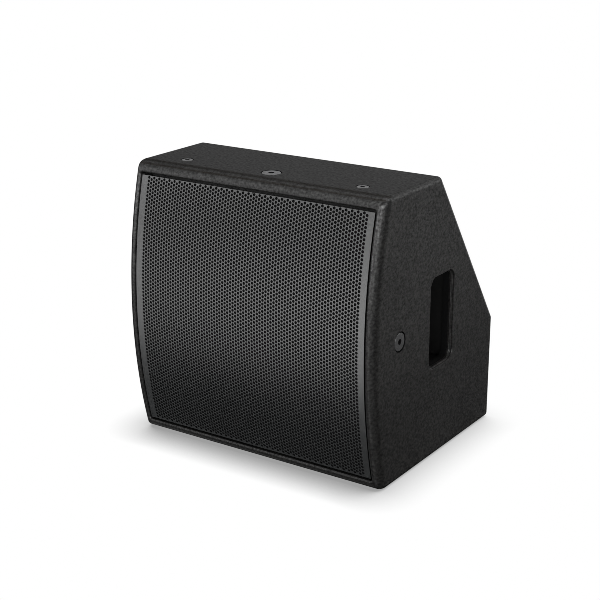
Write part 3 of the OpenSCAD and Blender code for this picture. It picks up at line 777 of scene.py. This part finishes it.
# fixing points: M-sized seats in the sides and the top, with two small ones beside the top one
SIDE_POINT_Y = 41.5
TOP_POINT_Y = 39.5
TOP_SPAN = 276.0                          # between the two small ones
LARGE_SEAT = dict(seat_radius=13.4, depth=3.0, hole_radius=6.5, ease=0.6)
SMALL_SEAT = dict(seat_radius=8.4, depth=2.5, hole_radius=4.5, ease=0.5)


def on_side(side):
    return lambda across, up, depth: (
        side * (HALF_WIDTH - depth), SIDE_POINT_Y + across, MID_Z + up)


def on_top(centre_x):
    return lambda across, up, depth: (centre_x + across, TOP_POINT_Y + up, HEIGHT - depth)


def seat_cutter(place, seat_radius, depth, hole_radius, ease):
    steps = [(level, seat_radius + offset) for level, offset in eased_edge(ease, 4)]
    steps += [(depth, seat_radius), (depth, hole_radius), (PLY + 2, hole_radius)]
    loops = []
    for level, radius in steps:
        angles = [2 * math.pi * i / 40 for i in range(40)]
        loops.append([place(radius * math.cos(a), radius * math.sin(a), level) for a in angles])
    # painted shade: the seat's walls take the near-black bore material, standing in for the dark gap
    # round the flange
    return solid("cut_seat", loops, ("grille_bore",))


def plate_cutter():
    """Rebate and window for the connection plate."""
    low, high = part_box("input_plate")
    width, height = (high.x - low.x) / MM, (high.z - low.z) / MM
    centre_z = (low.z + high.z) / 2 / MM
    gap, ledge, rebate = 1.4, 24, 2.0
    steps = [(DEPTH + 3, gap), (DEPTH - rebate, gap), (DEPTH - rebate, -ledge),
             (DEPTH - PLY - 2, -ledge)]
    return solid("cut_plate", [
        [(x, y, z) for x, z in rounded_rect(width + grow, height + grow, 1.2, 3, 0, centre_z)]
        for y, grow in steps])


shell = build_shell()
cut(shell, inside_cutter())
cut(shell, opening_cutter())
for side in (1, -1):
    cut(shell, hand_cutter(side))
for side in (1, -1):
    cut(shell, seat_cutter(on_side(side), **LARGE_SEAT))
cut(shell, seat_cutter(on_top(0.0), **LARGE_SEAT))
for side in (1, -1):
    cut(shell, seat_cutter(on_top(side * TOP_SPAN / 2), **SMALL_SEAT))
cut(shell, plate_cutter())
shade_smooth(shell.data, 28.0)
weighted = shell.modifiers.new("normals", "WEIGHTED_NORMAL")
weighted.keep_sharp = True
weighted.weight = 100
on_cabinet(shell, "textured_paint", "side_left", "side_right", "top_panel", "bottom_panel",
           "slope_panel", "rear_panel")

# ------------------------------------------------------------------ perforated grille
# The sheet is laid out flat: u runs across, s down its outer face from the top edge.
grille_low, grille_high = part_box("grille")
SHEET_HALF = grille_high.x / MM
SHEET_RISE = (grille_high.z / MM - grille_low.z / MM) / 2
SHEET_RADIUS = BOW_RADIUS - 2.5
SHEET_THICK = 1.5
SHEET_ARC = 2 * SHEET_RADIUS * math.asin(SHEET_RISE / SHEET_RADIUS)
COLUMNS, COLUMN_PITCH, ROW_PITCH = 80, 4.309, 4.917
FIRST_U = -169.55
FIRST_S = 2.4
END_MARGIN = 0.55                         # least metal below the last hole
HOLE_RADIUS = 2.0
HOLE_SIDES = 12
# half widths of the six-sided cell round each hole, at its flat ends and at its side corners
CELL_END = COLUMN_PITCH / 2 - ROW_PITCH * ROW_PITCH / (8 * COLUMN_PITCH)
CELL_SIDE = COLUMN_PITCH / 2 + ROW_PITCH * ROW_PITCH / (8 * COLUMN_PITCH)
PLAIN_U = 176.5                           # a line down the plain strips beside the holes
BEND = 0.4                                # outer radius of the folds down the sides
FLANGE = 13.0                             # depth of the folded sides
FLAT_HALF = SHEET_HALF - BEND
BEND_ARC = BEND * math.pi / 2


def column(c):
    """u of a column, s of its first hole and its number of holes."""
    first = FIRST_S + (ROW_PITCH / 2 if c % 2 else 0.0)
    rows = int((SHEET_ARC - first - HOLE_RADIUS - END_MARGIN) // ROW_PITCH) + 1
    return FIRST_U + c * COLUMN_PITCH, first, rows


def column_foot(c):
    """s of the lower end of a column's last cell."""
    _, first, rows = column(c)
    return first + (rows - 1) * ROW_PITCH + ROW_PITCH / 2


def column_side(c, side):
    """Points down the outer edge of an end column, side 1 for its right and -1 for its left."""
    u, first, rows = column(c)
    points = [(u + side * CELL_END, 0.0)]
    if c % 2:
        points.append((u + side * CELL_END, first - ROW_PITCH / 2))
    for k in range(rows):
        s = first + k * ROW_PITCH
        points += [(u + side * CELL_SIDE, s), (u + side * CELL_END, s + ROW_PITCH / 2)]
    return points + [(u + side * CELL_END, SHEET_ARC)]


def face_edges(face):
    return zip(face, face[1:] + face[:1])


def flat_pattern(start, stop):
    """Points (u, s) and faces of columns start to stop, with the side strip of an end column."""
    index, points, faces = {}, [], []

    def vertex(u, s):
        key = (round(u, 6), round(s, 6))
        if key not in index:
            index[key] = len(points)
            points.append((u, s))
        return index[key]

    for c in range(start, stop):
        u, first, rows = column(c)
        for k in range(rows):
            s = first + k * ROW_PITCH
            top = s - ROW_PITCH / 2 if (k > 0 or c % 2) else 0.0
            cell = [vertex(u + CELL_SIDE, s), vertex(u + CELL_END, s + ROW_PITCH / 2),
                    vertex(u - CELL_END, s + ROW_PITCH / 2), vertex(u - CELL_SIDE, s),
                    vertex(u - CELL_END, top), vertex(u + CELL_END, top)]
            hole = []
            for i in range(HOLE_SIDES):
                angle = 2 * math.pi * i / HOLE_SIDES
                hole.append(vertex(u + HOLE_RADIUS * math.cos(angle),
                                   s + HOLE_RADIUS * math.sin(angle)))
            # each side of the cell faces two sides of the hole
            for q in range(6):
                near, far = cell[q], cell[(q + 1) % 6]
                middle = hole[q * 2 + 1]
                faces += [(near, middle, hole[q * 2]), (near, far, middle),
                          (far, hole[(q * 2 + 2) % HOLE_SIDES], middle)]
        # plain strips above the first hole of the odd columns and below every last hole
        if c % 2:
            top = first - ROW_PITCH / 2
            right = u + COLUMN_PITCH - CELL_END if c < stop - 1 else u + CELL_END
            faces.append((vertex(right, 0.0), vertex(u + CELL_END, top),
                          vertex(u - CELL_END, top), vertex(u - COLUMN_PITCH + CELL_END, 0.0)))
        foot = column_foot(c)
        faces.append((vertex(u - CELL_END, foot), vertex(u + CELL_END, foot),
                      vertex(u + CELL_END, SHEET_ARC), vertex(u - CELL_END, SHEET_ARC)))
    # gaps at the bottom between neighbouring columns
    for c in range(start, stop - 1):
        u = column(c)[0]
        left, right = u + CELL_END, u + COLUMN_PITCH - CELL_END
        faces.append((vertex(left, column_foot(c)), vertex(left, SHEET_ARC),
                      vertex(right, SHEET_ARC), vertex(right, column_foot(c + 1))))
    # plain strip, fold and flange beside the outermost column
    for c, side in ((start, -1), (stop - 1, 1)):
        if c not in (0, COLUMNS - 1):
            continue
        edge = column_side(c, side)
        across = [PLAIN_U, FLAT_HALF] + [FLAT_HALF + BEND_ARC * i / 3 for i in range(1, 4)]
        across.append(FLAT_HALF + BEND_ARC + (FLANGE - BEND))
        before = [vertex(u, s) for u, s in edge]
        for u in across:
            line = [vertex(side * u, s) for _, s in edge]
            for i in range(len(edge) - 1):
                faces.append((before[i], before[i + 1], line[i + 1], line[i]))
            before = line

    def area(face):
        return sum(points[a][0] * points[b][1] - points[b][0] * points[a][1]
                   for a, b in face_edges(face))

    return points, [face if area(face) > 0 else face[::-1] for face in faces]


def fold_sheet(u, s, below):
    """Place of a sheet point, below the outer face by the given distance."""
    across = abs(u)
    if across <= FLAT_HALF:
        x, depth, normal_x, normal_depth = across, 0.0, 0.0, 1.0
    elif across <= FLAT_HALF + BEND_ARC:
        turn = (across - FLAT_HALF) / BEND
        x, depth = FLAT_HALF + BEND * math.sin(turn), BEND - BEND * math.cos(turn)
        normal_x, normal_depth = -math.sin(turn), math.cos(turn)
    else:
        x, depth = SHEET_HALF, BEND + (across - FLAT_HALF - BEND_ARC)
        normal_x, normal_depth = -1.0, 0.0
    x += normal_x * below
    depth += normal_depth * below
    if below > 0.0:                       # inside face: the fold closes to a plain corner
        x, depth = min(x, SHEET_HALF - below), max(depth, below)
    angle = (SHEET_ARC / 2 - s) / SHEET_RADIUS
    radius = SHEET_RADIUS - depth
    return (x if u >= 0 else -x, BOW_CENTRE_Y - radius * math.cos(angle),
            MID_Z + radius * math.sin(angle))


def grille_half(name, start, stop):
    points, faces = flat_pattern(start, stop)
    edges = dict.fromkeys(edge for face in faces for edge in face_edges(face))
    border = [(a, b) for a, b in edges if (b, a) not in edges]
    count = len(points)
    verts = [fold_sheet(u, s, below) for below in (0.0, SHEET_THICK) for u, s in points]
    inside = [tuple(i + count for i in face[::-1]) for face in faces]
    walls = [(b, a, a + count, b + count) for a, b in border]

    def folded(face):
        return min(abs(points[i][0]) for i in face) > FLAT_HALF - 1e-6

    def on_rim(a, b):
        """Whether a border edge lies on the top, the bottom or a flange, not in a hole."""
        level = any(abs(points[a][1] - end) < 1e-6 and abs(points[b][1] - end) < 1e-6
                    for end in (0.0, SHEET_ARC))
        return level or min(abs(points[a][0]), abs(points[b][0])) > SHEET_HALF

    # painted shade: the folds, the inside face and the walls of the holes take the near-black bore
    # material; only the outer face and the rim edges keep the grille paint
    face_mats = [1 if folded(face) else 0 for face in faces] + [1] * len(inside)
    face_mats += [0 if on_rim(a, b) else 1 for a, b in border]
    return make_mesh(name, verts, faces + inside + walls, ["grille_paint", "grille_bore"],
                     face_mats, crease=9.0)


grille_halves = [grille_half("grille_left", 0, COLUMNS // 2),
                 grille_half("grille_right", COLUMNS // 2, COLUMNS)]
for half_sheet in grille_halves:
    on_cabinet(half_sheet, "grille_paint", "grille")


# ------------------------------------------------------------------ foam behind the grille
def foam_sheet():
    """A curved sheet with a slightly uneven front and rounded front edges."""
    front_radius = SHEET_RADIUS - SHEET_THICK - 0.15
    back_radius = SHEET_RADIUS - SHEET_THICK - 6.0
    half = SHEET_HALF - SHEET_THICK - 0.35
    half_angle = math.asin((SHEET_RISE - 0.7) / SHEET_RADIUS)
    edge_radius = 1.5
    across, down = 120, 116
    rng = np.random.default_rng(7)
    uneven = rng.normal(0, 0.05, (down + 1, across + 1))
    front, back = [], []
    for k in range(down + 1):
        angle = half_angle - 2 * half_angle * k / down
        for i in range(across + 1):
            x = -half + 2 * half * i / across
            from_edge = min(half - abs(x), (half_angle - abs(angle)) * SHEET_RADIUS)
            into_round = max(0.0, edge_radius - from_edge)
            drop = edge_radius - math.sqrt(max(0.0, edge_radius ** 2 - into_round ** 2))
            radius = front_radius - 0.12 - drop - abs(uneven[k, i])
            for points, r in ((front, radius), (back, back_radius)):
                points.append((x, BOW_CENTRE_Y - r * math.cos(angle),
                               MID_Z + r * math.sin(angle)))
    count = len(front)
    row = across + 1
    faces = []
    for k in range(down):
        for i in range(across):
            a = k * row + i
            faces.append((a, a + row, a + row + 1, a + 1))
            faces.append((count + a, count + a + 1, count + a + row + 1, count + a + row))
    rim = list(range(row)) + [k * row + across for k in range(1, down + 1)]
    rim += [down * row + i for i in range(across - 1, -1, -1)]
    rim += [k * row for k in range(down - 1, 0, -1)]
    faces += [(a, b, b + count, a + count) for a, b in face_edges(rim)]
    return make_mesh("foam_sheet", front + back, faces, ["foam"], crease=50.0)


on_cabinet(foam_sheet(), "foam", "grille_foam")


# ------------------------------------------------------------------ fixing points
def insert(name, node, place, flange_radius, flange_thick, barrel_radius, depth, hole_radius,
           top, steel_shading="insert_steel"):
    """Flanged insert; depths run in from the panel face and the flange starts at top."""
    ease = 0.45
    outline = []
    for i in range(5):                    # eased flange edge
        angle = math.pi / 2 * i / 4
        outline.append((flange_radius - ease + ease * math.cos(angle),
                        top + ease - ease * math.sin(angle)))
    outline += [(hole_radius + 0.6, top), (hole_radius + 0.5, top + 0.06),
                (hole_radius + 0.05, top + 0.5), (hole_radius, top + 1.1)]
    level = top + 1.1
    while level < top + depth - 1.2:      # shallow thread turns inside the bore
        outline += [(hole_radius - 0.35, level + 0.45), (hole_radius, level + 0.9)]
        level += 0.9
    bore_end = len(outline)               # painted shade: the bore is near-black from the flange's hole down
    outline += [(hole_radius, top + depth), (barrel_radius, top + depth),
                (barrel_radius, top + flange_thick), (flange_radius, top + flange_thick)]
    band_mats = [1 if 5 <= k <= bore_end else 0 for k in range(len(outline))]
    ob = lathe(name, outline, place, [steel_shading, "grille_bore"], segments=64, crease=30.0,
               band_mats=band_mats)
    on_cabinet(ob, "insert_steel", node)


# painted shade: the side points take the darker copy of the insert steel
for side, label in ((1, "right"), (-1, "left")):
    insert("side_point_" + label, "side_inserts", on_side(side), flange_radius=12.0,
           flange_thick=2.5, barrel_radius=6.4, depth=16.5, hole_radius=3.4, top=0.5,
           steel_shading="insert_steel_painted_shade")
    insert("top_point_" + label, "top_small_inserts", on_top(side * TOP_SPAN / 2),
           flange_radius=7.8, flange_thick=2.2, barrel_radius=4.4, depth=15.7,
           hole_radius=2.5, top=0.3)
insert("top_point_centre", "top_insert", on_top(0.0), flange_radius=12.6, flange_thick=2.7,
       barrel_radius=6.4, depth=16.7, hole_radius=3.4, top=0.3)


# ------------------------------------------------------------------ flexing parts of the drive units
def on_axis(across, up, depth):
    """Round the drive units' shared axis; depth is y."""
    return (across, depth, MID_Z + up)


def flexing(name, outline, node, slot, segments, crease):
    """A ring for a suspension part, which in the real object moves fully with the moving part at its
    inner radius and not at all at its outer; here it is built in place and its frame node hidden.
    """
    ob = lathe(name, outline, on_axis, [slot], segments, crease)
    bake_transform(ob)
    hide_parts(node)


def surround_outline():
    """Half-round roll bulging to the front between two flat lips."""
    back, front = 12.0, 12.0 - 0.8
    roll = 133.0                          # radius of the roll's crest
    outline = [(120.5, front), (126.2, front), (126.4, back - 1.0)]
    for i in range(15):
        angle = math.pi * (1 - i / 14)
        outline.append((roll + 7.0 * math.cos(angle), back - 0.35 - 6.65 * math.sin(angle)))
    outline += [(139.6, back - 1.0), (139.9, front), (146.8, front), (146.8, back),
                (139.6, back)]
    for i in range(15):
        angle = math.pi * i / 14
        outline.append((roll + 6.2 * math.cos(angle), back - 0.05 - 6.1 * math.sin(angle)))
    return outline + [(126.4, back), (120.5, back)]


def with_back(line, thickness, between=()):
    """Closes an outline by running back along its line, further to the rear."""
    return line + list(between) + [(r, y + thickness) for r, y in line[::-1]]


SPIDER_IN, SPIDER_OUT, SPIDER_LIP = 38, 76.0, 84.0   # radii: corrugation, then the outer lip
SPIDER_Y = 71.2
spider_line = [(SPIDER_IN + i * 38 / 72, SPIDER_Y + 1.4 * math.sin(i * 2 * math.pi * 5 / 72))
               for i in range(73)]
spider_lip = [(SPIDER_LIP, SPIDER_Y), (SPIDER_LIP, 72.95), (SPIDER_OUT, 72.95)]
HF_IN, HF_OUT = 22.35, 27.0
hf_line = [(HF_IN, 159.7), (23.4, 159.62), (24.6, 159.5), (25.8, 159.62), (HF_OUT, 159.7)]
hf_slot = next(part["material_slot"] for part in frame["record"]["subparts"]
               if part["node"] == "hf_suspension")

flexing("cone_surround", surround_outline(), "surround", "surround_rubber",
        segments=128, crease=40.0)
flexing("centring_disc", with_back(spider_line, 0.7, spider_lip), "spider", "textile",
        segments=96, crease=60.0)
flexing("hf_edge", with_back(hf_line, 0.3), "hf_suspension", hf_slot,
        segments=96, crease=60.0)

# ------------------------------------------------------------------ floor
FLOOR_HALF = 6                            # metres
FLOOR_Z = -0.0003
FLOOR_TILT = (0.06, 0.48, 0.875)          # direction round which the floor's shade is gathered
SHADE_REACH = 0.060
SHADE_POWER, SHADE_LEAST = 0.75, 0.34     # softness of the shade and its darkest value


def stage_floor():
    """White paper that shines evenly, with a painted shadow from ambient occlusion close to the
    cabinet, and casts no light on it.
    """
    mesh = bpy.data.meshes.new("floor")
    mesh.from_pydata([(x * FLOOR_HALF, y * FLOOR_HALF, FLOOR_Z)
                      for x, y in CORNERS[2:] + CORNERS[:2]], [], [(0, 1, 2, 3)])
    material = bpy.data.materials.new("floor_paper")
    tree = empty_tree(material)
    output = add_node(tree, "OutputMaterial", {})
    tilt = add_node(tree, "CombineXYZ", dict(enumerate(FLOOR_TILT)))
    near = add_node(tree, "AmbientOcclusion", {
        "Distance": SHADE_REACH, "Normal": Value(tree, tilt.outputs[0])}, samples=24)
    shade = calc("MAXIMUM", Value(tree, near.outputs["AO"]) ** SHADE_POWER, SHADE_LEAST)
    glow = add_node(tree, "Emission", {"Strength": shade})
    tree.links.new(glow.outputs[0], output.inputs[0])
    mesh.materials.append(material)
    ob = bpy.data.objects.new("floor", mesh)
    COLLECTION.objects.link(ob)
    ob.visible_diffuse = False
    ob.visible_glossy = False
    ob.visible_transmission = False
    ob.visible_shadow = False


stage_floor()


# ------------------------------------------------------------------ world and lights
def white_world():
    """White to the camera, dark to everything else."""
    world = bpy.data.worlds.new("studio")
    bpy.context.scene.world = world
    tree = empty_tree(world)
    output = add_node(tree, "OutputWorld", {})
    path = add_node(tree, "LightPath", {})
    seen, lit = [Value(tree, add_node(tree, "Background", {
        0: (1, 1, 1, 1), 1: strength}).outputs[0]) for strength in (1.0, 0.0)]
    mixed = add_node(tree, "MixShader", {
        0: Value(tree, path.outputs["Is Camera Ray"]), 1: lit, 2: seen})
    tree.links.new(mixed.outputs[0], output.inputs[0])


def soft_light(name, azimuth, elevation, width, strength):
    """A broad, distant source. Azimuth 0 is in front and 90 to the right."""
    light = bpy.data.lights.new(name, "SUN")
    light.energy = strength
    light.angle = math.radians(width)
    ob = bpy.data.objects.new(name, light)
    COLLECTION.objects.link(ob)
    turn, lift = math.radians(azimuth), math.radians(elevation)
    towards = Vector((math.sin(turn) * math.cos(lift), -math.cos(turn) * math.cos(lift),
                      math.sin(lift)))
    ob.rotation_euler = towards.to_track_quat("Z", "Y").to_euler()


# name, azimuth, elevation, angle across (all in degrees), strength
LIGHTS = [
    ("bounce_low_left", -90, -45, 40, 0.119), ("bounce_low_front_right", 45, -45, 40, 0.236),
    ("bounce_back", -180, -15, 28, 0.189), ("bounce_front_left_a", -30, -15, 28, 0.401),
    ("bounce_front", 0, -15, 28, 0.074), ("bounce_front_right_a", 30, -15, 28, 0.524),
    ("bounce_right", 90, -15, 28, 0.149), ("level_back", -180, 10, 28, 0.157),
    ("level_back_left_a", -150, 10, 28, 0.054), ("level_left_front", -60, 10, 28, 0.775),
    ("level_front_left_a", -30, 10, 28, 0.113), ("level_front", 0, 10, 28, 2.080),
    ("level_front_right_a", 30, 10, 28, 1.012), ("level_right_front", 60, 10, 28, 2.327),
    ("level_right", 90, 10, 28, 0.669), ("level_right_back", 120, 10, 28, 0.054),
    ("level_back_right_a", 150, 10, 28, 0.318), ("raised_back", -180, 35, 36, 0.138),
    ("raised_left", -90, 35, 36, 0.150), ("raised_front_left", -45, 35, 36, 0.445),
    ("raised_back_right", 135, 35, 36, 0.481), ("high_back_left", -135, 62, 40, 0.484),
    ("high_front_left", -45, 62, 40, 0.667), ("high_back_right", 135, 62, 40, 1.125),
    ("overhead", 0, 90, 40, 0.531),
]
white_world()
for entry in LIGHTS:
    soft_light(*entry)

# ------------------------------------------------------------------ camera and picture
CAMERA_PLACE = Vector((0.99211, -1.50861, 0.78773))    # metres
CAMERA_TARGET = Vector((-0.02090, -0.00335, 0.18373))
CAMERA_ROLL = math.radians(-0.0596)


def add_camera():
    data = bpy.data.cameras.new("camera")
    data.sensor_width = 36.0
    data.lens = 81.878
    data.clip_start = 0.05
    data.clip_end = 60
    camera = bpy.data.objects.new("camera", data)
    COLLECTION.objects.link(camera)
    forward = (CAMERA_TARGET - CAMERA_PLACE).normalized()
    right = forward.cross(Vector((0, 0, 1))).normalized()
    up = right.cross(forward).normalized()
    cos_roll, sin_roll = math.cos(CAMERA_ROLL), math.sin(CAMERA_ROLL)
    axes = Matrix((right * cos_roll + up * sin_roll, up * cos_roll - right * sin_roll, -forward))
    camera.matrix_world = Matrix.Translation(CAMERA_PLACE) @ axes.transposed().to_4x4()
    return camera


scene = bpy.context.scene
scene.view_settings.view_transform = "Standard"
scene.view_settings.look = "None"
scene.view_settings.exposure = 0.0
scene.view_settings.gamma = 1.0
scene.cycles.filter_width = 0.8           # narrow, to keep the small perforations crisp
scene.camera = add_camera()
